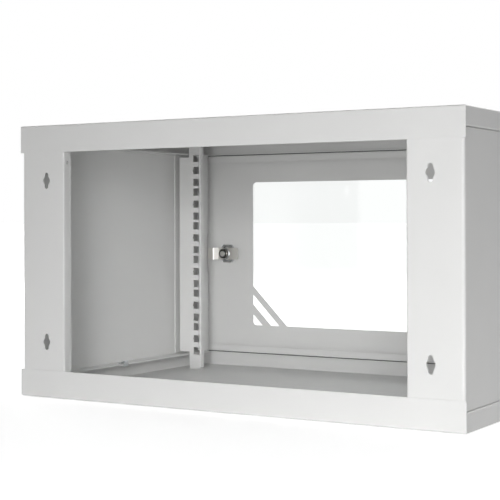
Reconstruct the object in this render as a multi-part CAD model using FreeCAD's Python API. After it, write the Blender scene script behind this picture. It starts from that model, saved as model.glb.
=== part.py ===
import FreeCAD, Part
import math
import os

# A 6U wall-mounted rack cabinet of folded sheet steel: two pans joined by two side panels,
# front posts and 19-inch rails inside, and a windowed tray door on pivot pins with a cam lock.
# Millimetres, +Z up, the door faces -Y, the open back faces the wall at +Y.
# The origin is the middle of the underside. Depths named *_d are measured from the back face.

V = FreeCAD.Vector

# Case
case_depth = 360.0
rack_units = 6
side_space = 39.45
sheet = 1.2
bend_inner = 0.6
bend_outer = bend_inner + sheet

# 19-inch rail pattern
unit_pitch = 44.45
hole_offsets = (6.35, 22.225, 38.1)
rail_hole_spacing = 465.1
rail_hole_size = 9.5
rail_hole_edge = 6.55
rail_sheet = 1.5
rail_setback = 67.6
rail_face_width = 34.3
rail_tab_width = 17.8
rail_lip = 7.5
rail_leg = 25.0
rail_nick = 1.5
rail_flange_gap = 3.7
rail_foot_bend = 1.5
rail_foot_depth = 8.0

# Pans
rim_height = 19.6
back_flange = 30.5
side_return = 20.0
rack_clear = 0.1
pan_overhang = 1.8
post_setback = 1.5

# Side panels with their back posts
post_width = 60.0
post_bend_inner = 1.8
post_return = 12.0
post_hole_r = 2.0
post_hole_d = 7.4
post_hole_from_top = 42.2
side_flange = 20.0

# Keyholes in the back posts
keyhole_from_side = 34.7
keyhole_from_end = 62.35
keyhole_r = 4.9
keyhole_slot = 5.4
keyhole_length = 18.3

# Front posts
post_flange = 53.2
front_post_width = 18.5
front_post_return = 13.0
cam_slot_length = 50.4

# Door
door_gap = 1.0
door_tray = 9.0
door_lip = 9.0
door_side_inset = 2.0
door_post_gap = 3.4
window_lock_gap = 15.0
window_from_end = 36.4
window_corner_r = 5.0
bar_legs = ((15.0, 27.8), (41.2, 52.5))

# Glazing
pane_thickness = 4.0
pane_lap = 12.0
pane_corner_r = 6.0
pane_edge_break = 0.5
tape_thickness = 1.0
tape_width = 8.0
tape_inset = 2.0

# Hinge pins and bushes
pin_r = 2.0
pin_head_r = 3.0
pin_head_h = 1.5
pin_fit = 0.05
pin_rim_edge = 0.2
bush_r = 2.9
bush_gap_x = 1.4
bush_gap_d = 0.7
bush_flange_r = 4.2
bush_rim_gap = 0.5
bush_reach = 3.0
pin_reach = 1.5

# Cam lock
cam_reach = 24.0
lock_flange_r = 12.0
lock_flange_h = 2.5
lock_body_r = 9.4
lock_flats = 16.0
lock_body_length = 8.4
lock_fit = 0.1
plug_r = 6.0
plug_fit = 0.05
plug_proud = 0.4
plug_gap = 0.3
key_slot_w = 1.4
key_slot_l = 7.0
key_slot_depth = 6.0
plug_square = 7.0
lock_nut_flats = 24.0
lock_nut_h = 5.0
cam_sheet = 2.0
cam_height = 16.0
cam_tail = 20.0
cam_tip_length = 7.4
cam_tip_gap = 1.5
cam_face_gap = 0.2
cam_slot_gap = 0.6
cam_bend_inner = 1.0
cam_corner_r = 3.0
cam_washer_r = 7.8
cam_washer_h = 0.8
cam_nut_flats = 12.0
cam_nut_h = 4.5
cam_stud_r = 3.4
cam_stud_proud = 1.5

# Edge clips
clip_sheet = 0.8
clip_width = 7.0
clip_gap = 1.2
clip_rise = 3.6
clip_foot = 8.0
clip_touch = 7.5
clip_tip = 2.0
clip_bend_inner = 0.4
clip_d = 163.0

# Earth stud
hole_clear = 0.2
earth_stud_in = 82.0
earth_stud_d = 60.0
earth_stud_r = 3.0
earth_stud_length = 12.0
earth_washer_r = 6.0
earth_washer_h = 1.2
earth_nut_flats = 10.0
earth_nut_h = 5.0

# Cable knock-outs and roof vents
knockout_length = 140.0
knockout_depth = 50.0
knockout_gap = 20.0
knockout_d = 25.0
knockout_slit = 1.5
knockout_tab = 3.0
vent_rows = 8
vent_pitch = 12.0
vent_length = 90.0
vent_width = 4.0
vent_first_d = 150.0
vent_spacing_x = 260.0

# Places worked out from the sizes above
case_height = rack_units * unit_pitch + 2 * (rim_height + rack_clear / 2)
half_width = rail_hole_spacing / 2 + side_space
mid_z = case_height / 2
front_d = case_depth + tape_thickness + pane_thickness
back_y = front_d / 2
side_x = half_width - pan_overhang
side_inner_x = side_x - sheet
panel_low = rim_height
panel_high = case_height - rim_height
mouth_x = half_width - side_return
door_half = half_width - door_side_inset
door_low = rim_height + door_gap
door_high = case_height - door_low
door_back_d = case_depth - door_tray
skin_d = case_depth - sheet
post_front_d = door_back_d - door_post_gap
front_post_x = side_inner_x - front_post_width
hinge_x = -(door_half - sheet - bush_gap_x - bush_r)
hinge_d = skin_d - bush_gap_d - bush_r
bush_flange_h = door_gap - bush_rim_gap
front_return = case_depth - hinge_d + pin_head_r + pin_rim_edge
lock_x = front_post_x - cam_tip_gap - cam_reach
window_half_x = lock_x - lock_flange_r - window_lock_gap - pane_lap
window_low = door_low + window_from_end
window_high = case_height - window_low
keyhole_x = side_x - keyhole_from_side
earth_stud_x = half_width - earth_stud_in
body_end_d = case_depth - lock_body_length
cam_front_d = body_end_d - plug_gap
cam_back_d = cam_front_d - cam_sheet
washer_back_d = cam_back_d - cam_washer_h
cam_nut_back_d = washer_back_d - cam_nut_h
cam_tip_d = post_front_d - sheet - cam_face_gap
slot_back_d = cam_tip_d - cam_sheet - cam_slot_gap
flange_x = side_x - side_flange
clip_x = min(flange_x, mouth_x) - clip_gap
rail_face_d = case_depth - rail_setback
rail_x = rail_hole_spacing / 2 - rail_hole_edge
rail_foot_x = rail_x + rail_sheet + bend_inner


def y_at(d):
    """The Y of a depth measured from the back face."""
    return back_y - d


def box(x0, x1, d0, d1, z0, z1):
    """A block between two X, two depths from the back face and two heights."""
    return Part.makeBox(x1 - x0, d1 - d0, z1 - z0, V(x0, y_at(d1), z0))


def folded_block(x0, x1, d0, d1, z0, z1, radius, seam):
    """A block with rounded bends, its corner seams along one direction left sharp."""
    block = box(x0, x1, d0, d1, z0, z1)
    bends = [edge for edge in block.Edges if round(edge.tangentAt(0).dot(seam)) == 0]
    return block.makeFillet(radius, bends)


def upright_plate(points, d0, d1):
    """A flat plate across the depth, its outline given in X and Z."""
    outline = [V(x, y_at(d0), z) for x, z in points + points[:1]]
    return Part.Face(Part.makePolygon(outline)).extrude(V(0, d0 - d1, 0))


def post_z(x, d, z0, z1, radius):
    """An upright cylinder."""
    return Part.makeCylinder(radius, z1 - z0, V(x, y_at(d), z0), V(0, 0, 1))


def rod_y(x, z, d0, d1, radius):
    """A cylinder along the depth."""
    return Part.makeCylinder(radius, d1 - d0, V(x, y_at(d0), z), V(0, -1, 0))


def hexagon(flats, height):
    """A hexagonal prism on the origin, two of its flats facing along Y."""
    corner = flats / math.sqrt(3)
    points = [V(corner * math.cos(math.radians(60 * k)), corner * math.sin(math.radians(60 * k)), 0)
              for k in range(7)]
    return Part.Face(Part.makePolygon(points)).extrude(V(0, 0, height))


def plain_nut(flats, height, bore_r):
    """A hexagonal nut on the origin, its bore along Z."""
    return hexagon(flats, height).cut(Part.makeCylinder(bore_r, height))


def flip(shape):
    """The same shape for the roof, turned over about the middle height."""
    return shape.mirror(V(0, 0, mid_z), V(0, 0, 1))


def other_side(shape):
    """The same shape on the other side of the cabinet."""
    return shape.mirror(V(0, 0, 0), V(1, 0, 0))


def fuse_all(shapes):
    """One solid from shapes that touch."""
    return shapes[0].multiFuse(shapes[1:]).removeSplitter()


def moved_path(points, distance):
    """An open path shifted to its left by the distance, its corners mitred."""
    normals = []
    for a, b in zip(points, points[1:]):
        length = math.hypot(b[0] - a[0], b[1] - a[1])
        normals.append(((a[1] - b[1]) / length, (b[0] - a[0]) / length))
    shifted = []
    for k, point in enumerate(points):
        before = normals[max(k - 1, 0)]
        after = normals[min(k, len(normals) - 1)]
        scale = distance / (1 + before[0] * after[0] + before[1] * after[1])
        shifted.append((point[0] + (before[0] + after[0]) * scale,
                        point[1] + (before[1] + after[1]) * scale))
    return shifted


def turns_left(a, b, c):
    """Whether a path bends to its left at its middle point."""
    return (b[0] - a[0]) * (c[1] - b[1]) - (b[1] - a[1]) * (c[0] - b[0]) > 0


def rounded_edges(points, radii):
    """Lines along an open path, with an arc of its own radius at each inner point."""
    vectors = [V(u, v, 0) for u, v in points]
    edges = []
    start = vectors[0]
    for before, corner, after, radius in zip(vectors, vectors[1:], vectors[2:], radii):
        back = (before - corner).normalize()
        ahead = (after - corner).normalize()
        half_angle = back.getAngle(ahead) / 2
        reach = radius / math.tan(half_angle)
        middle = (back + ahead).normalize()
        apex = corner + middle * (radius / math.sin(half_angle) - radius)
        edges.append(Part.makeLine(start, corner + back * reach))
        edges.append(Part.Arc(corner + back * reach, apex, corner + ahead * reach).toShape())
        start = corner + ahead * reach
    edges.append(Part.makeLine(start, vectors[-1]))
    return edges


def folded_strip(points, thickness, inner_radii):
    """The section of a folded strip that lies to the left of a path along its near side."""
    far = moved_path(points, thickness)
    bends = list(zip(points, points[1:], points[2:], inner_radii))
    near_radii = [r + thickness if turns_left(a, b, c) else r for a, b, c, r in bends]
    far_radii = [r if turns_left(a, b, c) else r + thickness for a, b, c, r in bends]
    ends = [Part.makeLine(V(*points[-1], 0), V(*far[-1], 0)),
            Part.makeLine(V(*far[0], 0), V(*points[0], 0))]
    edges = rounded_edges(points, near_radii) + rounded_edges(far, far_radii) + ends
    return Part.Face(Part.Wire(Part.__sortEdges__(edges)))


def upright_strip(plan, thickness, inner_radii, z0, z1):
    """A folded strip standing upright, its plan given in X and depth."""
    face = folded_strip([(x, y_at(d)) for x, d in plan], thickness, inner_radii)
    face.translate(V(0, 0, z0))
    return face.extrude(V(0, 0, z1 - z0))


def deep_strip(section, thickness, inner_radii, d0, d1):
    """A folded strip running along the depth, its section given in X and Z."""
    face = folded_strip(section, thickness, inner_radii)
    face.rotate(V(0, 0, 0), V(1, 0, 0), 90)
    face.translate(V(0, y_at(d0), 0))
    return face.extrude(V(0, d0 - d1, 0))


def cross_strip(section, thickness, inner_radii, x0, x1):
    """A folded strip running along X, its section given in depth and Z."""
    face = folded_strip([(y_at(d), z) for d, z in section], thickness, inner_radii)
    face.rotate(V(0, 0, 0), V(1, 1, 1), 120)
    face.translate(V(x0, 0, 0))
    return face.extrude(V(x1 - x0, 0, 0))


def knockout(x0):
    """The slit round a cable knock-out, broken by one tab in the middle of each side."""
    x1 = x0 + knockout_length
    d0 = knockout_d
    d1 = knockout_d + knockout_depth
    z1 = 2 * sheet
    slit = knockout_slit
    outer = box(x0, x1, d0, d1, -sheet, z1)
    inner = box(x0 + slit, x1 - slit, d0 + slit, d1 - slit, -sheet, z1)
    mid_x = (x0 + x1) / 2
    mid_d = (d0 + d1) / 2
    tab = knockout_tab / 2
    tab_x = box(mid_x - tab, mid_x + tab, d0, d1, -sheet, z1)
    tab_d = box(x0, x1, mid_d - tab, mid_d + tab, -sheet, z1)
    return outer.cut(inner).cut(tab_x).cut(tab_d)


def pan():
    """A tray with folded-in rims at its sides and front and a tall plain flange at its back."""
    seam = V(0, 0, 1)
    outer = folded_block(-half_width, half_width, 0, case_depth, 0, rim_height, bend_outer, seam)
    inner_x = half_width - sheet
    inner = folded_block(-inner_x, inner_x, sheet, skin_d, sheet, rim_height - sheet, bend_inner,
                         seam)
    low = rim_height / 2
    high = rim_height + sheet
    flange = box(-half_width, half_width, 0, sheet, low, back_flange)
    mouth = box(-mouth_x, mouth_x, sheet, case_depth - front_return, low, high)
    tray = fuse_all([outer.cut(inner), flange]).cut(mouth)
    holes = [post_z(hinge_x, hinge_d, low, high, pin_r + pin_fit)]
    holes += [knockout(knockout_gap / 2), knockout(-knockout_gap / 2 - knockout_length)]
    return tray.cut(Part.makeCompound(holes))


def bottom_pan():
    """The floor, with a stud for the earth wire."""
    earth = post_z(earth_stud_x, earth_stud_d, sheet, earth_stud_length, earth_stud_r)
    return fuse_all([pan(), earth])


def vent(x, d):
    """A narrow slot along X through the roof sheet."""
    half = vent_length / 2
    return box(x - half, x + half, d, d + vent_width, -sheet, 2 * sheet)


def top_pan():
    """The roof: the same pan turned over, with vent slots at both sides."""
    vents = [vent(side * vent_spacing_x / 2, vent_first_d + k * vent_pitch)
             for side in (-1, 1) for k in range(vent_rows)]
    return flip(pan().cut(Part.makeCompound(vents)))


def keyhole(z):
    """A round hole with a narrower slot running out of it both up and down."""
    x = keyhole_x
    end = post_setback + 2 * sheet
    run = (keyhole_length - keyhole_slot) / 2
    slot = box(x - keyhole_slot / 2, x + keyhole_slot / 2, -sheet, end, z - run, z + run)
    tips = [rod_y(x, z + side * run, -sheet, end, keyhole_slot / 2) for side in (-1, 1)]
    return fuse_all([slot, rod_y(x, z, -sheet, end, keyhole_r)] + tips)


def side_panel():
    """One folded sheet: side wall, wide back post with its return, and a flange on each pan."""
    post_inner_x = side_x - post_width
    wall_d = post_setback + post_bend_inner + 2 * sheet
    plan = [(side_x, wall_d), (side_x, post_setback), (post_inner_x, post_setback),
            (post_inner_x, post_setback + post_return)]
    post = upright_strip(plan, sheet, (post_bend_inner, bend_inner), panel_low, panel_high)
    section = [(flange_x, panel_low), (side_x, panel_low), (side_x, panel_high), (flange_x, panel_high)]
    wall = deep_strip(section, sheet, (bend_inner, bend_inner), wall_d, post_front_d)
    holes = [keyhole(z) for z in (keyhole_from_end, case_height - keyhole_from_end)]
    hole_start = V(post_inner_x - sheet, y_at(post_hole_d), case_height - post_hole_from_top)
    holes.append(Part.makeCylinder(post_hole_r, 3 * sheet, hole_start, V(1, 0, 0)))
    return fuse_all([post, wall]).cut(Part.makeCompound(holes))


def front_post():
    """A channel inside the side panel's front edge, notched at its bend for the cam of the lock."""
    back = post_front_d - post_flange
    plan = [(front_post_x, post_front_d - front_post_return), (front_post_x, post_front_d),
            (side_inner_x, post_front_d), (side_inner_x, back)]
    low = panel_low + bend_outer
    post = upright_strip(plan, sheet, (bend_inner, bend_inner), low, case_height - low)
    slot = box(front_post_x - sheet, front_post_x + bend_outer, slot_back_d, door_back_d,
               mid_z - cam_slot_length / 2, mid_z + cam_slot_length / 2)
    return post.cut(slot)


def rail():
    """A 19-inch rail: a folded plate with square holes, and a narrower foot at each end."""
    outer_x = rail_x + rail_face_width
    tab_x = rail_x + rail_tab_width
    face_back_d = rail_face_d + rail_sheet
    low = sheet + rail_foot_bend + rail_sheet
    tab_plan = [(tab_x, rail_face_d), (rail_x, rail_face_d), (rail_x, rail_face_d + rail_lip)]
    tab = upright_strip(tab_plan, rail_sheet, (bend_inner,), low, case_height - low)
    wing_low = panel_low + sheet + rail_flange_gap
    wing_plan = [(outer_x, rail_face_d + rail_leg), (outer_x, rail_face_d),
                 (tab_x - rail_sheet, rail_face_d)]
    wing = upright_strip(wing_plan, rail_sheet, (bend_inner,), wing_low, case_height - wing_low)
    foot_section = [(rail_face_d + rail_foot_depth, sheet), (rail_face_d, sheet),
                    (rail_face_d, rim_height)]
    foot = cross_strip(foot_section, rail_sheet, (rail_foot_bend,), rail_foot_x, tab_x)
    solid = fuse_all([tab, wing, foot, flip(foot)])
    hole_x = rail_hole_spacing / 2
    half = rail_hole_size / 2
    d0 = rail_face_d - sheet
    d1 = face_back_d + sheet
    cuts = []
    for unit in range(rack_units):
        base = mid_z + (unit - rack_units / 2) * unit_pitch
        for offset in hole_offsets:
            z = base + offset
            cuts.append(box(hole_x - half, hole_x + half, d0, d1, z - half, z + half))
        x = hole_x + half
        z = base + hole_offsets[1]
        nick = [(x - rail_nick, z), (x, z - rail_nick), (x + rail_nick, z), (x, z + rail_nick)]
        cuts.append(upright_plate(nick, d0, d1))
    return solid.cut(Part.makeCompound(cuts))


def edge_clips():
    """Spring clips that grip each side panel's lower flange and the pan rim under it."""
    rim_low = rim_height - sheet
    flange_top = panel_low + sheet
    touch_x = clip_x + clip_touch
    section = [(clip_x + clip_foot, rim_low), (clip_x, rim_low), (clip_x, flange_top + clip_rise),
               (touch_x, flange_top), (touch_x + clip_tip, flange_top)]
    bends = (clip_bend_inner, clip_bend_inner, clip_bend_inner)
    clip = deep_strip(section, clip_sheet, bends, clip_d - clip_width / 2, clip_d + clip_width / 2)
    return Part.makeCompound([clip, other_side(clip)])


def earth_washer():
    """The washer on the earth stud."""
    ring = post_z(earth_stud_x, earth_stud_d, sheet, sheet + earth_washer_h, earth_washer_r)
    return ring.cut(post_z(earth_stud_x, earth_stud_d, 0, earth_stud_length, earth_stud_r + hole_clear))


def earth_nut():
    """The nut on the earth stud."""
    nut = plain_nut(earth_nut_flats, earth_nut_h, earth_stud_r)
    return nut.translated(V(earth_stud_x, y_at(earth_stud_d), sheet + earth_washer_h))


def hinge_pin():
    """The lower pivot pin: a head under the rim and a stem up into the door."""
    seat = rim_height - sheet
    top = door_low + sheet + bush_reach + pin_reach
    head = post_z(hinge_x, hinge_d, seat - pin_head_h, seat, pin_head_r)
    stem = post_z(hinge_x, hinge_d, seat, top, pin_r)
    return head.fuse(stem).removeSplitter()


def hinge_bush():
    """The lower door bush: a flange under the door's edge and a sleeve inside it."""
    flange = post_z(hinge_x, hinge_d, door_low - bush_flange_h, door_low, bush_flange_r)
    sleeve = post_z(hinge_x, hinge_d, door_low, door_low + sheet + bush_reach, bush_r)
    bore = post_z(hinge_x, hinge_d, 0, mid_z, pin_r + pin_fit)
    return flange.fuse(sleeve).removeSplitter().cut(bore)


def rounded_plate(half_w, z0, z1, d0, d1, radius):
    """An upright plate across the door with rounded corners."""
    block = box(-half_w, half_w, d0, d1, z0, z1)
    corners = [edge for edge in block.Edges if edge.BoundBox.YLength > (d1 - d0) / 2]
    return block.makeFillet(radius, corners)


def corner_bar(near_leg, far_leg):
    """A slanting bar across the window's lower corner on the lock side."""
    x = window_half_x
    z = window_low
    points = [(x - near_leg, z), (x, z + near_leg), (x, z + far_leg), (x - far_leg, z)]
    return upright_plate(points, skin_d - sheet, case_depth + sheet)


def double_d(x, z, d0, d1, radius, flats):
    """A cylinder along the depth with two flats, above and below."""
    slab = box(x - radius, x + radius, d0, d1, z - flats / 2, z + flats / 2)
    return rod_y(x, z, d0, d1, radius).common(slab)


def door_panel():
    """The door: a shallow tray with lips along its top and bottom, a window and two corner bars."""
    seam = V(0, 1, 0)
    outer = folded_block(-door_half, door_half, door_back_d, case_depth, door_low, door_high,
                         bend_outer, seam)
    inner_x = door_half - sheet
    inner = folded_block(-inner_x, inner_x, door_back_d + sheet, skin_d, door_low + sheet,
                         door_high - sheet, bend_inner, seam)
    lip_low = door_low + door_lip
    lip_high = door_high - door_lip
    mouth = box(-inner_x, inner_x, door_back_d - sheet, door_back_d + 2 * sheet, lip_low, lip_high)
    edge = box(inner_x, door_half, door_back_d, skin_d, lip_low, lip_high)
    tray = fuse_all([outer.cut(inner).cut(mouth), edge, other_side(edge)])
    window = rounded_plate(window_half_x, window_low, window_high, skin_d - sheet,
                           case_depth + sheet, window_corner_r)
    for near_leg, far_leg in bar_legs:
        window = window.cut(corner_bar(near_leg, far_leg))
    lock_hole = double_d(lock_x, mid_z, skin_d - sheet, case_depth + sheet, lock_body_r + lock_fit,
                         lock_flats + 2 * lock_fit)
    pin_hole = post_z(hinge_x, hinge_d, 0, case_height, bush_r)
    return tray.cut(window).cut(lock_hole).cut(pin_hole)


def pane_plate(inset, d0, d1):
    """A plate behind the window, its edge set in from the pane's edge."""
    reach = pane_lap - inset
    return rounded_plate(window_half_x + reach, window_low - reach, window_high + reach, d0, d1,
                         pane_corner_r)


def glass_pane():
    """The clear pane, bonded to the door's outer face."""
    back_d = case_depth + tape_thickness
    pane = pane_plate(0, back_d, back_d + pane_thickness)
    front = [edge for edge in pane.Edges if edge.BoundBox.YMax < y_at(back_d + pane_thickness / 2)]
    return pane.makeChamfer(pane_edge_break, front)


def glazing_tape():
    """The ring of bonding tape between the pane and the door."""
    front = case_depth + tape_thickness
    ring = pane_plate(tape_inset, case_depth, front)
    return ring.cut(pane_plate(tape_inset + tape_width, case_depth - sheet, front + sheet))


def lock_housing():
    """The lock's body: a round flange on the door's face and a flatted barrel through it."""
    flange_d = case_depth + lock_flange_h
    flange = rod_y(lock_x, mid_z, case_depth, flange_d, lock_flange_r)
    rim = [edge for edge in flange.Edges if edge.BoundBox.YMax < y_at(case_depth) - lock_flange_h / 2]
    barrel = double_d(lock_x, mid_z, body_end_d, case_depth, lock_body_r, lock_flats)
    bore = rod_y(lock_x, mid_z, body_end_d - sheet, flange_d + sheet, plug_r + plug_fit)
    return flange.makeChamfer(lock_flange_h / 3, rim).fuse(barrel).removeSplitter().cut(bore)


def along_depth(shape, x, d):
    """A shape made on the origin, turned to point at the back and placed on the lock's axis."""
    turned = shape.copy()
    turned.rotate(V(0, 0, 0), V(1, 0, 0), -90)
    return turned.translated(V(x, y_at(d), mid_z))


def lock_nut():
    """The large nut that holds the lock against the door's inner face."""
    return along_depth(plain_nut(lock_nut_flats, lock_nut_h, lock_body_r + lock_fit), lock_x, skin_d)


def lock_plug():
    """The turning plug: key slot in front, a square for the cam and a threaded end behind it."""
    front = case_depth + lock_flange_h + plug_proud
    end_d = cam_nut_back_d - cam_stud_proud
    barrel = rod_y(lock_x, mid_z, cam_front_d, front, plug_r)
    half = plug_square / 2
    square = box(lock_x - half, lock_x + half, cam_back_d, cam_front_d, mid_z - half, mid_z + half)
    stud = rod_y(lock_x, mid_z, end_d, cam_back_d, cam_stud_r)
    key = box(lock_x - key_slot_w / 2, lock_x + key_slot_w / 2, front - key_slot_depth, front + sheet,
              mid_z - key_slot_l / 2, mid_z + key_slot_l / 2)
    return fuse_all([barrel, square, stud]).cut(key)


def lock_cam():
    """The flat cam, cranked so that its tip stands just behind the front post's face."""
    crank = cam_front_d - cam_tip_d
    tip_x = front_post_x - cam_tip_gap
    tail_x = lock_x - cam_tail
    bend_x = tip_x - cam_tip_length - crank
    z0 = mid_z - cam_height / 2
    z1 = mid_z + cam_height / 2
    plan = [(tail_x, cam_front_d), (bend_x, cam_front_d), (bend_x + crank, cam_tip_d),
            (tip_x, cam_tip_d)]
    strip = upright_strip(plan, cam_sheet, (cam_bend_inner, cam_bend_inner), z0, z1)
    outline = box(tail_x, tip_x, cam_tip_d - 2 * cam_sheet, cam_front_d + cam_sheet, z0, z1)
    corners = [edge for edge in outline.Edges if edge.BoundBox.YLength > cam_sheet]
    half = (plug_square + lock_fit) / 2
    hole = box(lock_x - half, lock_x + half, cam_back_d - sheet, cam_front_d + sheet,
               mid_z - half, mid_z + half)
    return strip.common(outline.makeFillet(cam_corner_r, corners)).cut(hole)


def cam_washer():
    """The washer between the cam and its nut."""
    ring = rod_y(lock_x, mid_z, washer_back_d, cam_back_d, cam_washer_r)
    return ring.cut(rod_y(lock_x, mid_z, washer_back_d, cam_back_d, cam_stud_r + plug_fit))


def cam_nut():
    """The nut that clamps the cam on the plug."""
    return along_depth(plain_nut(cam_nut_flats, cam_nut_h, cam_stud_r), lock_x, washer_back_d)


def all_nodes():
    """Every separate piece by its name."""
    panel = side_panel()
    post = front_post()
    angle = rail()
    pin = hinge_pin()
    bush = hinge_bush()
    return {
        "top_pan": top_pan(),
        "bottom_pan": bottom_pan(),
        "side_panel_right": panel,
        "side_panel_left": other_side(panel),
        "front_post_right": post,
        "front_post_left": other_side(post),
        "rail_right": angle,
        "rail_left": other_side(angle),
        "edge_clips": edge_clips(),
        "earth_washer": earth_washer(),
        "earth_nut": earth_nut(),
        "hinge_pin_lower": pin,
        "hinge_pin_upper": flip(pin),
        "hinge_bush_lower": bush,
        "hinge_bush_upper": flip(bush),
        "door_panel": door_panel(),
        "glass_pane": glass_pane(),
        "glazing_tape": glazing_tape(),
        "lock_housing": lock_housing(),
        "lock_nut": lock_nut(),
        "lock_plug": lock_plug(),
        "lock_cam": lock_cam(),
        "cam_washer": cam_washer(),
        "cam_nut": cam_nut(),
    }


os.makedirs("parts", exist_ok=True)
for node, shape in all_nodes().items():
    shape.exportStep("parts/" + node + ".step")
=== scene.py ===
import math

import bmesh
import bpy
from mathutils import Matrix, Vector


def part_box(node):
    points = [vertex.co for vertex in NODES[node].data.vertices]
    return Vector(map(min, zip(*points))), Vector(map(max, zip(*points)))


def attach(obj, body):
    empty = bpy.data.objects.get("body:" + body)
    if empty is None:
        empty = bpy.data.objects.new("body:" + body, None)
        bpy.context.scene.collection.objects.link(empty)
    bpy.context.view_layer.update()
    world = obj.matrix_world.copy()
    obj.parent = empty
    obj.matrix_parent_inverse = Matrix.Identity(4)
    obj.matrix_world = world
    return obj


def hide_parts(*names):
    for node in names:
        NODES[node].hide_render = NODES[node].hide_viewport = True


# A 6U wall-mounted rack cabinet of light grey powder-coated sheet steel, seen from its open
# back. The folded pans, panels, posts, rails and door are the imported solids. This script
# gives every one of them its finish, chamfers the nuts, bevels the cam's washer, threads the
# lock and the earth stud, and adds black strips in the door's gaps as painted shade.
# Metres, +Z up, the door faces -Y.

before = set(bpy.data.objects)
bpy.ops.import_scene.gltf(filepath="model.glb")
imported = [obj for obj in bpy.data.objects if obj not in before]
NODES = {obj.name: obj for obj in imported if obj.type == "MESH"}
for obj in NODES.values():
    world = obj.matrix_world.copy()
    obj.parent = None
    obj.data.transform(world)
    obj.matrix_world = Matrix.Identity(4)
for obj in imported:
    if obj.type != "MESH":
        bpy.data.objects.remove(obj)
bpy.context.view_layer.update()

MM = 0.001
ALONG_Y, ALONG_Z = 1, 2

# Camera, worked out from the straight edges of the cabinet in the photograph. Its focal length
# and axis are in the picture's pixels, its sensor in millimetres, its place and the range that
# it sees in metres, its turns in degrees
IMAGE_SIZE = 500
SENSOR = 36.0
FOCAL_PX = 1283.5
AXIS_PX = (299.8, 217.9)
CAMERA_AT = (-0.7335, 1.2881, 0.2011)
CAMERA_TURN = 30.03
CAMERA_ROLL = -0.16
CAMERA_RANGE = (0.05, 200.0)

# The floor: half its side and its depth under the cabinet, in metres
FLOOR_HALF = 40.0
FLOOR_DEPTH = 0.0005
# Its own white is dimmer around the cabinet, where the shadow falls: reach in metres, strength
SHADOW_REACH = (0.5, 2.5)
FLOOR_GLOW = (0.62, 1.0)

# Soft lamps: place, target, size in metres, power in watts, width of the beam in degrees
LAMPS = {
    "key": ((-1.2, 2.4, 0.35), (-0.1, 0.18, -0.45), 1.0, 3.5, 45),
    "side": ((-2.0, 1.7, 0.6), (-0.2, 0.1, -0.5), 1.0, 0.8, 40),
    "low": ((-0.35, 1.25, 0.12), (-0.3, 0.18, 0.06), 0.3, 4.8, 180),
    "front": ((0.0, -2.2, 1.5), (0.0, 0.0, 0.1), 1.6, 32, 180),
    "fill": ((2.4, -0.8, 1.1), (0.25, 0.0, 0.1), 1.6, 20, 180),
}
# Strength of the even light from all sides
AMBIENT = 0.08

# Sockets of a Mix node that blends two colours
MIX_FIRST, MIX_SECOND, MIX_RESULT = 6, 7, 2

# Facets round a turned piece, and the distance in metres under which two points are one
TURNED_STEPS = 72
MERGE_WITHIN = 1e-6

# Nuts: the radius of the bore in millimetres, the body and the slot of each
NUTS = {
    "lock_nut": (9.5, "door", "chrome_plate"),
    "cam_nut": (3.4, "lock", "chrome_plate"),
    "earth_nut": (3.0, "cabinet", "zinc_plate"),
}
NUT_SIDES = 6
# Angle of the outer chamfer, round face as a share of the width across flats, and the width
# of the bore's chamfer in millimetres
NUT_CHAMFER = math.radians(30)
NUT_FACE = 0.95
BORE_CHAMFER = 0.4

# Bevelled washer under the cam's nut, in millimetres: the radius of its bore, the height of
# its outer rim, and the radius at which the bevel reaches the top
WASHER_BORE = 3.45
WASHER_RIM = 0.1
WASHER_CROWN = 6.2

# Threads, in millimetres: from one turn to the next, height of the ridge over the stud, and
# how deep its foot lies in the stud. The foot's width is a share of the pitch
THREAD_PITCH = 1.0
THREAD_DEPTH = 0.45
THREAD_SINK = 0.03
THREAD_FOOT = 0.8
# Facets in one turn
THREAD_STEPS = 48

# The studs that carry them, in millimetres. The lock's barrel has two flats
BARREL_RADIUS = 9.4
BARREL_FLATS = 16.0
PLUG_RADIUS = 3.4
EARTH_STUD_RADIUS = 3.0
EARTH_STUD_TOP = 12.0

# Black strips in the gaps above and below the door, painted shade for the dark gap lines, in
# millimetres: how far back they lie from the door's inner edge, and how much shorter they are
# than the door at each end
STRIP_THICKNESS = 0.9
STRIP_WIDTH = 4.0
STRIP_INSET = 2.0
STRIP_SHORT = 13.0
STRIP_ROUND = 0.15

# Finishes by node
COATED = ("top_pan", "bottom_pan", "side_panel_left", "side_panel_right", "front_post_left",
          "front_post_right", "rail_left", "rail_right", "door_panel")
ZINC = ("edge_clips", "earth_washer", "hinge_pin_lower", "hinge_pin_upper")
CHROMED = ("lock_housing",)
NICKELLED = ("lock_cam", "lock_plug")
GLAZED = ("glass_pane",)
TAPED = ("glazing_tape",)
NYLON = ("hinge_bush_lower", "hinge_bush_upper")


def linear(hex_colour):
    """A colour written as sRGB hex, in the linear values that a shader takes."""
    parts = [int(hex_colour[k:k + 2], 16) / 255 for k in (1, 3, 5)]
    return (*[c / 12.92 if c <= 0.04045 else ((c + 0.055) / 1.055) ** 2.4 for c in parts], 1.0)


def waves(size_mm):
    """The texture scale whose features are about this many millimetres wide."""
    return 1 / (size_mm * MM)


def add(tree, kind, settings=None, inputs=None):
    """A node of this kind, with its settings made and its inputs linked or given values."""
    node = tree.nodes.new(kind)
    for name, value in (settings or {}).items():
        setattr(node, name, value)
    for name, value in (inputs or {}).items():
        if isinstance(value, bpy.types.NodeSocket):
            tree.links.new(value, node.inputs[name])
        else:
            node.inputs[name].default_value = value
    return node


def new_material(name, **values):
    """A material with one surface shader, its object coordinates and its constant values."""
    material = bpy.data.materials.new(name)
    material.use_nodes = True
    tree = material.node_tree
    shader = tree.nodes["Principled BSDF"]
    for socket, value in values.items():
        shader.inputs[socket.replace("_", " ")].default_value = value
    place = add(tree, "ShaderNodeTexCoord").outputs["Object"]
    return material, tree, shader, place


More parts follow.
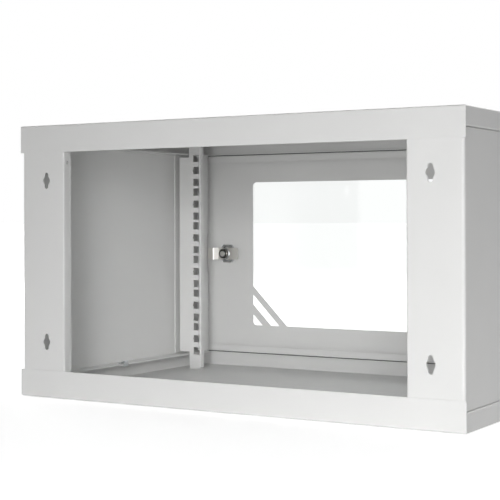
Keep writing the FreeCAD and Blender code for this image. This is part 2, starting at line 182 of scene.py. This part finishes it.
def two_tones(tree, shader, fac, first, second):
    """Lets the colour wander between two tones."""
    mix = add(tree, "ShaderNodeMix", {"data_type": "RGBA"}, {"Factor": fac})
    mix.inputs[MIX_FIRST].default_value = linear(first)
    mix.inputs[MIX_SECOND].default_value = linear(second)
    tree.links.new(mix.outputs[MIX_RESULT], shader.inputs["Base Color"])


def gloss_between(tree, shader, fac, first, second):
    """Lets the roughness wander between two values."""
    span = add(tree, "ShaderNodeMapRange", None,
               {"Value": fac, "To Min": first, "To Max": second})
    tree.links.new(span.outputs["Result"], shader.inputs["Roughness"])


def relief(tree, shader, height, depth_mm, strength):
    """Raises and sinks the surface by a height map."""
    bump = add(tree, "ShaderNodeBump", None,
               {"Height": height, "Distance": depth_mm * MM, "Strength": strength})
    tree.links.new(bump.outputs["Normal"], shader.inputs["Normal"])


def powder_coat():
    """Polyester powder coat, baked: an even satin grey with a soft orange-peel skin that
    breaks up the highlights, and slightly heavier and lighter areas from the spray gun."""
    material, tree, shader, place = new_material("satin_powder_coat_light_grey", IOR=1.5)
    spray = add(tree, "ShaderNodeTexNoise", None,
                {"Vector": place, "Scale": waves(90), "Detail": 2.0, "Roughness": 0.5})
    two_tones(tree, shader, spray.outputs["Fac"], "#DCDCDB", "#E2E2E1")
    # The real peel is about 1.2 mm across, drawn twice as wide so that it shows
    peel = add(tree, "ShaderNodeTexNoise", None,
               {"Vector": place, "Scale": waves(2.4), "Detail": 2.0, "Roughness": 0.45})
    gloss_between(tree, shader, peel.outputs["Fac"], 0.40, 0.52)
    relief(tree, shader, peel.outputs["Fac"], depth_mm=0.03, strength=0.35)
    return material


def zinc_plate():
    """Bright zinc plating on turned and pressed steel: a bluish silver with small duller
    blotches where the bath ran off."""
    material, tree, shader, place = new_material("bright_zinc_plate", Metallic=1.0)
    blotches = add(tree, "ShaderNodeTexNoise", None,
                   {"Vector": place, "Scale": waves(3), "Detail": 3.0, "Roughness": 0.6})
    two_tones(tree, shader, blotches.outputs["Fac"], "#CDD1D5", "#EBEDEE")
    gloss_between(tree, shader, blotches.outputs["Fac"], 0.50, 0.35)
    return material


def chrome_plate():
    """Chrome plate on die-cast zinc: a hard mirror with the faint waves of the casting."""
    material, tree, shader, place = new_material("chrome_plated_casting", Metallic=1.0)
    cast = add(tree, "ShaderNodeTexNoise", None,
               {"Vector": place, "Scale": waves(2), "Detail": 2.0, "Roughness": 0.5})
    two_tones(tree, shader, cast.outputs["Fac"], "#C4C6C9", "#DEDFE0")
    gloss_between(tree, shader, cast.outputs["Fac"], 0.08, 0.16)
    relief(tree, shader, cast.outputs["Fac"], depth_mm=0.02, strength=0.3)
    return material


def nickel_plate():
    """Satin nickel plate on the pressed cam and the plug: warm silver with fine streaks that
    run as the cam does when it is locked."""
    material, tree, shader, place = new_material("nickel_plated_pressing", Metallic=1.0)
    # Real streaks are hair lines, drawn half a millimetre wide so that they show
    along = add(tree, "ShaderNodeMapping", None,
                {"Vector": place, "Scale": (waves(12), waves(0.5), waves(0.5))})
    streaks = add(tree, "ShaderNodeTexNoise", None,
                  {"Vector": along.outputs["Vector"], "Scale": 1.0, "Detail": 3.0})
    two_tones(tree, shader, streaks.outputs["Fac"], "#E2E0DB", "#F1EFEB")
    gloss_between(tree, shader, streaks.outputs["Fac"], 0.42, 0.56)
    relief(tree, shader, streaks.outputs["Fac"], depth_mm=0.01, strength=0.4)
    return material


def dark_warm_metal():
    """The small turned nut: a dark warm metal, glossy as a mirror and finely mottled."""
    material, tree, shader, place = new_material("dark_warm_metal_finish", Metallic=1.0)
    mottle = add(tree, "ShaderNodeTexNoise", None,
                 {"Vector": place, "Scale": waves(0.5), "Detail": 2.0})
    two_tones(tree, shader, mottle.outputs["Fac"], "#4A4845", "#6A6864")
    gloss_between(tree, shader, mottle.outputs["Fac"], 0.18, 0.32)
    return material


def float_glass():
    """Clear toughened float glass: flat, with a trace of green from its iron and the long
    roller waves of the toughening oven."""
    material, tree, shader, place = new_material(
        "clear_toughened_glass", IOR=1.52, Transmission_Weight=1.0, Roughness=0.0,
        Base_Color=linear("#FDFFFE"))
    roller = add(tree, "ShaderNodeTexNoise", None,
                 {"Vector": place, "Scale": waves(120), "Detail": 1.0})
    relief(tree, shader, roller.outputs["Fac"], depth_mm=0.01, strength=0.2)
    return material


def foam_tape_and_gap_shade():
    """Black acrylic foam tape: matt, with the open cells of its cut edge. The same finish colours
    the black strips in the door's gaps, which are painted shade.
    """
    material, tree, shader, place = new_material("black_foam_tape_and_gap_shade", IOR=1.45)
    cells = add(tree, "ShaderNodeTexVoronoi", None, {"Vector": place, "Scale": waves(0.6)})
    two_tones(tree, shader, cells.outputs["Distance"], "#141415", "#2A2A2B")
    gloss_between(tree, shader, cells.outputs["Distance"], 0.75, 0.95)
    relief(tree, shader, cells.outputs["Distance"], depth_mm=0.05, strength=0.5)
    return material


def nylon():
    """Natural moulded nylon: milky white, a little waxy, with a fine moulded grain."""
    material, tree, shader, place = new_material(
        "natural_nylon", IOR=1.53, Subsurface_Weight=0.15, Subsurface_Scale=0.002)
    grain = add(tree, "ShaderNodeTexNoise", None,
                {"Vector": place, "Scale": waves(0.8), "Detail": 2.0})
    two_tones(tree, shader, grain.outputs["Fac"], "#DEDACD", "#EFECE3")
    gloss_between(tree, shader, grain.outputs["Fac"], 0.38, 0.5)
    relief(tree, shader, grain.outputs["Fac"], depth_mm=0.02, strength=0.4)
    return material


def finish_nodes(names, material):
    """Gives CAD nodes their finish."""
    for name in names:
        mesh = NODES[name].data
        mesh.materials.clear()
        mesh.materials.append(material)


def finished_piece(name, bm, material, body):
    """A new piece from a bmesh, riding on a body and taking its finish from a slot."""
    bmesh.ops.remove_doubles(bm, verts=bm.verts, dist=MERGE_WITHIN)
    bmesh.ops.recalc_face_normals(bm, faces=bm.faces)
    mesh = bpy.data.meshes.new(name)
    bm.to_mesh(mesh)
    bm.free()
    mesh.materials.append(material)
    piece = bpy.data.objects.new(name, mesh)
    bpy.context.scene.collection.objects.link(piece)
    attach(piece, body)
    return piece


def middle_and_size(node):
    """The middle and the size of a node's box."""
    low, high = (Vector(corner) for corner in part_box(node))
    return (low + high) / 2, high - low


def lay_along(bm, axis, place):
    """Turns a shape made along Z so that it lies along Y where it must, and puts it in place."""
    if axis == ALONG_Y:
        bmesh.ops.rotate(bm, verts=bm.verts, matrix=Matrix.Rotation(-math.pi / 2, 3, "X"))
    bmesh.ops.translate(bm, verts=bm.verts, vec=place)


def closed_spin(section):
    """A ring turned about Z from a closed section, given as radii and heights."""
    bm = bmesh.new()
    corners = [bm.verts.new((radius, 0, height)) for radius, height in section]
    edges = [bm.edges.new((corners[k - 1], corners[k])) for k in range(len(corners))]
    bmesh.ops.spin(bm, geom=corners + edges, cent=(0, 0, 0), axis=(0, 0, 1), angle=math.tau,
                   steps=TURNED_STEPS, use_merge=True)
    return bm


def cut_flat(bm, out, distance):
    """Cuts a shape off at a plane that faces outwards, and closes the cut."""
    cut = bmesh.ops.bisect_plane(bm, geom=bm.verts[:] + bm.edges[:] + bm.faces[:],
                                 plane_co=out * distance, plane_no=out, clear_outer=True)
    rim = [part for part in cut["geom_cut"] if isinstance(part, bmesh.types.BMEdge)]
    bmesh.ops.holes_fill(bm, edges=rim, sides=0)


def chamfered_nut(node, bore_mm, material, body):
    """A nut in a plain one's place: turned with its chamfers, then cut to its flats."""
    middle, size = middle_and_size(node)
    axis = min(range(3), key=lambda k: size[k])
    height, across = sorted(size)[:2]
    corner = across / math.sqrt(3)
    face = across / 2 * NUT_FACE
    fall = (corner - face) * math.tan(NUT_CHAMFER)
    bore, lead, top = bore_mm * MM, BORE_CHAMFER * MM, height / 2
    bm = closed_spin([(bore + lead, -top), (face, -top), (corner, fall - top), (corner, top - fall),
                      (face, top), (bore + lead, top), (bore, top - lead), (bore, lead - top)])
    # The corners lie along the longer side of the plain nut's box
    first, second = [size[k] for k in range(3) if k != axis]
    start = math.pi / NUT_SIDES if first > second else 0
    for k in range(NUT_SIDES):
        turn = start + k * math.tau / NUT_SIDES
        cut_flat(bm, Vector((math.cos(turn), math.sin(turn), 0)), across / 2)
    lay_along(bm, axis, middle)
    nut = finished_piece(node + "_chamfered", bm, material, body)
    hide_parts(node)


def bevelled_washer(node, material, body):
    """A washer in a plain one's place, its outer edge turned to a wide bevel."""
    middle, size = middle_and_size(node)
    outer, height = size.x / 2, size.y
    bore, rim, crown = WASHER_BORE * MM, WASHER_RIM * MM, WASHER_CROWN * MM
    bm = closed_spin([(bore, 0), (outer, 0), (outer, rim), (crown, height), (bore, height)])
    lay_along(bm, ALONG_Y, (middle.x, middle.y - height / 2, middle.z))
    washer = finished_piece(node + "_bevelled", bm, material, body)
    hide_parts(node)


def thread(name, axis, place, radius_mm, length, material, body, flats_mm=None):
    """The ridge of a screw thread round a plain stud, from its place on along its length."""
    pitch = THREAD_PITCH * MM
    foot = (radius_mm - THREAD_SINK) * MM
    crest = (radius_mm + THREAD_DEPTH) * MM
    half = THREAD_FOOT / 2 * pitch
    turns = (length - 2 * half) / pitch
    bm = bmesh.new()
    corners = [bm.verts.new(at) for at in ((foot, 0, 0), (crest, 0, half), (foot, 0, 2 * half))]
    edges = [bm.edges.new((corners[k - 1], corners[k])) for k in range(len(corners))]
    bmesh.ops.spin(bm, geom=corners + edges, cent=(0, 0, 0), axis=(0, 0, 1),
                   dvec=(0, 0, pitch / THREAD_STEPS), angle=math.tau * turns,
                   steps=round(THREAD_STEPS * turns))
    # The ridge's two ends are open triangles
    bmesh.ops.holes_fill(bm, edges=bm.edges, sides=len(corners))
    if flats_mm:
        for out in (Vector((0, 1, 0)), Vector((0, -1, 0))):
            cut_flat(bm, out, flats_mm / 2 * MM)
    lay_along(bm, axis, place)
    finished_piece(name, bm, material, body)


def lock_threads(chrome):
    """Threads the lock's barrel behind its nut, and the plug's end behind the small nut."""
    for name, nut, stud, radius, body, flats in (
            ("barrel_thread", "lock_nut", "lock_housing", BARREL_RADIUS, "door", BARREL_FLATS),
            ("plug_thread", "cam_nut", "lock_plug", PLUG_RADIUS, "lock", None)):
        middle, size = middle_and_size(nut)
        start = middle.y + size.y / 2
        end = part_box(stud)[1][1]
        thread(name, ALONG_Y, (middle.x, start, middle.z), radius, end - start, chrome, body,
               flats)


def earth_thread(zinc):
    """Threads the earth stud above its nut."""
    middle, size = middle_and_size("earth_nut")
    start = middle.z + size.z / 2
    thread("earth_stud_thread", ALONG_Z, (middle.x, middle.y, start), EARTH_STUD_RADIUS,
           EARTH_STUD_TOP * MM - start, zinc, "cabinet")


def gap_shade_strips(tape_and_gap_shade):
    """Black strips in the foam tape's finish on the door's edges. They fill the gaps to the floor
    and roof pans as painted shade for the dark gap lines.
    """
    low, high = (Vector(corner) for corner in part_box("door_panel"))
    thick, width = STRIP_THICKNESS * MM, STRIP_WIDTH * MM
    length = high.x - low.x - 2 * STRIP_SHORT * MM
    middle_x = (low.x + high.x) / 2
    middle_y = high.y - STRIP_INSET * MM - width / 2
    heights = {"gap_shade_strip_lower": low.z - thick / 2, "gap_shade_strip_upper": high.z + thick / 2}
    for name, middle_z in heights.items():
        bm = bmesh.new()
        bmesh.ops.create_cube(bm, size=1.0)
        bmesh.ops.scale(bm, verts=bm.verts, vec=(length, width, thick))
        bmesh.ops.translate(bm, verts=bm.verts, vec=(middle_x, middle_y, middle_z))
        bmesh.ops.bevel(bm, geom=bm.edges[:], offset=STRIP_ROUND * MM, segments=2, profile=0.5,
                        affect="EDGES", material=-1)
        finished_piece(name, bm, tape_and_gap_shade, "door")


def seen_directly(tree):
    """One where the eye sees a surface itself, in a reflection or through glass."""
    path = add(tree, "ShaderNodeLightPath")
    direct = add(tree, "ShaderNodeMath", {"operation": "MAXIMUM"})
    tree.links.new(path.outputs["Is Camera Ray"], direct.inputs[0])
    tree.links.new(path.outputs["Is Glossy Ray"], direct.inputs[1])
    both = add(tree, "ShaderNodeMath", {"operation": "MAXIMUM"})
    tree.links.new(direct.outputs[0], both.inputs[0])
    tree.links.new(path.outputs["Is Transmission Ray"], both.inputs[1])
    return both.outputs[0]


def studio_paint():
    """Matt white studio paint, which glows to the eye so that it reads as white, and glows
    less around the cabinet so that its shadow shows."""
    material = bpy.data.materials.new("matt_white_studio_floor")
    material.use_nodes = True
    tree = material.node_tree
    tree.nodes.clear()
    paint = add(tree, "ShaderNodeBsdfDiffuse", None, {"Color": linear("#F4F4F4")})
    place = add(tree, "ShaderNodeTexCoord").outputs["Object"]
    away = add(tree, "ShaderNodeVectorMath", {"operation": "LENGTH"})
    tree.links.new(place, away.inputs[0])
    lift = add(tree, "ShaderNodeMapRange", None,
               {"Value": away.outputs["Value"], "From Min": SHADOW_REACH[0],
                "From Max": SHADOW_REACH[1], "To Min": FLOOR_GLOW[0], "To Max": FLOOR_GLOW[1]})
    glow = add(tree, "ShaderNodeEmission", None, {"Strength": lift.outputs["Result"]})
    lifted = add(tree, "ShaderNodeAddShader")
    tree.links.new(paint.outputs[0], lifted.inputs[0])
    tree.links.new(glow.outputs[0], lifted.inputs[1])
    choice = add(tree, "ShaderNodeMixShader", None, {"Fac": seen_directly(tree)})
    tree.links.new(paint.outputs[0], choice.inputs[1])
    tree.links.new(lifted.outputs[0], choice.inputs[2])
    add(tree, "ShaderNodeOutputMaterial", None, {"Surface": choice.outputs[0]})
    return material


def studio_floor():
    """A pale floor that runs out of sight."""
    bm = bmesh.new()
    bmesh.ops.create_grid(bm, x_segments=1, y_segments=1, size=FLOOR_HALF)
    mesh = bpy.data.meshes.new("floor")
    bm.to_mesh(mesh)
    bm.free()
    mesh.materials.append(studio_paint())
    floor = bpy.data.objects.new("floor", mesh)
    floor.location.z = -FLOOR_DEPTH
    bpy.context.scene.collection.objects.link(floor)


def white_world():
    """A white surround to the eye, and an even dim light from all sides on the cabinet."""
    world = bpy.data.worlds.new("studio")
    world.use_nodes = True
    tree = world.node_tree
    tree.nodes.clear()
    room = add(tree, "ShaderNodeBackground", None, {"Strength": AMBIENT})
    white = add(tree, "ShaderNodeBackground", None, {"Strength": 1.0})
    for background in (room, white):
        background.inputs["Color"].default_value = linear("#FFFFFF")
    choice = add(tree, "ShaderNodeMixShader", None, {"Fac": seen_directly(tree)})
    tree.links.new(room.outputs[0], choice.inputs[1])
    tree.links.new(white.outputs[0], choice.inputs[2])
    add(tree, "ShaderNodeOutputWorld", None, {"Surface": choice.outputs[0]})
    bpy.context.scene.world = world


def soft_lamp(name, place, target, size, power, spread):
    """A square soft lamp that points at a target, its beam as wide as the spread in degrees."""
    light = bpy.data.lights.new(name, "AREA")
    light.size = size
    light.energy = power
    light.spread = math.radians(spread)
    lamp = bpy.data.objects.new(name, light)
    lamp.location = place
    lamp.rotation_mode = "QUATERNION"
    lamp.rotation_quaternion = (Vector(target) - Vector(place)).to_track_quat("-Z", "Y")
    lamp.visible_camera = False
    bpy.context.scene.collection.objects.link(lamp)


def set_camera():
    """The photograph's camera: level, behind the cabinet and on the side of its hinges."""
    data = bpy.data.cameras.new("camera")
    data.sensor_width = SENSOR
    data.lens = SENSOR * FOCAL_PX / IMAGE_SIZE
    data.shift_x = 0.5 - AXIS_PX[0] / IMAGE_SIZE
    data.shift_y = AXIS_PX[1] / IMAGE_SIZE - 0.5
    data.clip_start, data.clip_end = CAMERA_RANGE
    camera = bpy.data.objects.new("camera", data)
    camera.location = CAMERA_AT
    turn = math.radians(CAMERA_TURN)
    ahead = Vector((math.sin(turn), -math.cos(turn), 0))
    camera.rotation_mode = "QUATERNION"
    roll = Matrix.Rotation(math.radians(CAMERA_ROLL), 4, "Z").to_quaternion()
    camera.rotation_quaternion = ahead.to_track_quat("-Z", "Y") @ roll
    bpy.context.scene.collection.objects.link(camera)
    bpy.context.scene.camera = camera


zinc = zinc_plate()
chrome = chrome_plate()
# The black tape's finish also colours the strips in the door's gaps, which are painted shade
tape_and_gap_shade = foam_tape_and_gap_shade()
finish_nodes(COATED, powder_coat())
finish_nodes(ZINC, zinc)
finish_nodes(CHROMED, chrome)
finish_nodes(NICKELLED, nickel_plate())
finish_nodes(GLAZED, float_glass())
finish_nodes(TAPED, tape_and_gap_shade)
finish_nodes(NYLON, nylon())

nut_finish = {"lock_nut": chrome, "cam_nut": dark_warm_metal(), "earth_nut": zinc}
for node, (bore, body, slot) in NUTS.items():
    chamfered_nut(node, bore, nut_finish[node], body)
bevelled_washer("cam_washer", chrome, "lock")
lock_threads(chrome)
earth_thread(zinc)
# Black strips in the door's gaps: painted shade for the dark gap lines
gap_shade_strips(tape_and_gap_shade)

studio_floor()
white_world()
for name, settings in LAMPS.items():
    soft_lamp(name, *settings)
set_camera()

scene = bpy.context.scene
scene.view_settings.view_transform = "Standard"
